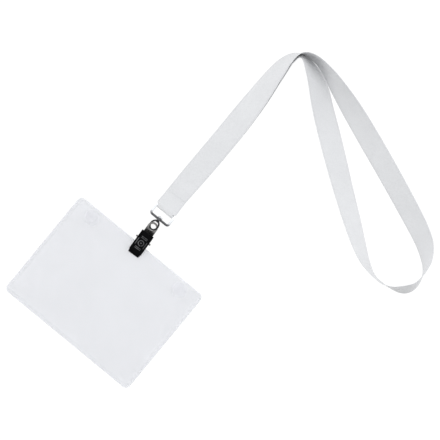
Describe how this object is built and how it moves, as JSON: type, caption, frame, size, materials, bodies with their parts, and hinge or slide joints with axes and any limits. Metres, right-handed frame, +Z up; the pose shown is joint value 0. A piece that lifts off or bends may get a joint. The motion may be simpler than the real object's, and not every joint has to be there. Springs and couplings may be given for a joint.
{
  "type": "lanyard badge holder",
  "caption": "Neck lanyard of doubled woven ribbon with a D-ring, swivel and bulldog clip holding a clear landscape badge pocket closed by two press studs.",
  "frame": {"origin": "on the flat underside of the clip's rear lever below its axle, at table level", "axes": "+Z up from the table the holder lies on; +Y along the hardware from the pocket towards the neck loop; +X along the pocket's long side"},
  "size_m": [0.2599, 0.3097, 0.0212],
  "materials": {
    "ribbon": "flat woven white polyester tape, fine weave, faint sheen",
    "thread": "white sewing thread",
    "bright_steel": "bright nickel plate",
    "dark_steel": "smoky nickel plate, polished",
    "black_steel": "black nickel, glossy, with a raised pattern worn to grey",
    "spring_steel": "drawn spring wire",
    "clear_vinyl": "soft clear vinyl, slightly milky, fine grain",
    "clear_plastic": "clear moulded plastic, glossy"
  },
  "bodies": {
    "lanyard": {"ribbon": "ribbon", "ribbon_stitching": "thread"},
    "dring": {"dring": "bright_steel"},
    "swivel": {"swivel_rivet": "bright_steel", "swivel_ring": "bright_steel"},
    "clip": {"clip_rear_lever": "dark_steel", "clip_axle_pin": "dark_steel", "clip_spring": "spring_steel"},
    "clip_jaw": {"clip_front_lever": "black_steel"},
    "pocket": {"back_sheet": "clear_vinyl", "front_sheet": "clear_vinyl", "weld_seam": "clear_vinyl", "left_front_cap": "clear_plastic", "left_socket": "clear_plastic", "left_stud": "clear_plastic", "left_rear_cap": "clear_plastic", "right_front_cap": "clear_plastic", "right_socket": "clear_plastic", "right_stud": "clear_plastic", "right_rear_cap": "clear_plastic"}
  },
  "joints": [
    {"name": "dring_swing", "type": "hinge", "parent": "lanyard", "child": "dring", "pos_m": [0, 0.03, 0.0032], "axis": [1, 0, 0], "range_deg": [-60, 60]},
    {"name": "swivel_spin", "type": "hinge", "parent": "dring", "child": "swivel", "pos_m": [0, 0.0214, 0.0032], "axis": [0, 1, 0], "continuous": true},
    {"name": "clip_swing", "type": "hinge", "parent": "swivel", "child": "clip", "pos_m": [0.00025, 0.01126, 0.0032], "axis": [0.9981, 0.061, 0], "range_deg": [-25, 0]},
    {"name": "jaw_open", "type": "hinge", "parent": "clip", "child": "clip_jaw", "pos_m": [0.00093, 0.00003, 0.0036], "axis": [-0.9981, -0.061, 0], "range_deg": [0, 24], "stiffness_Nm_per_rad": 0.02, "springref_deg": -17.19, "deforming": ["clip_spring"]},
    {"name": "pocket_release", "type": "slide", "parent": "clip", "child": "pocket", "axis": [0, -1, 0], "range_m": [0, 0.02]}
  ]
}
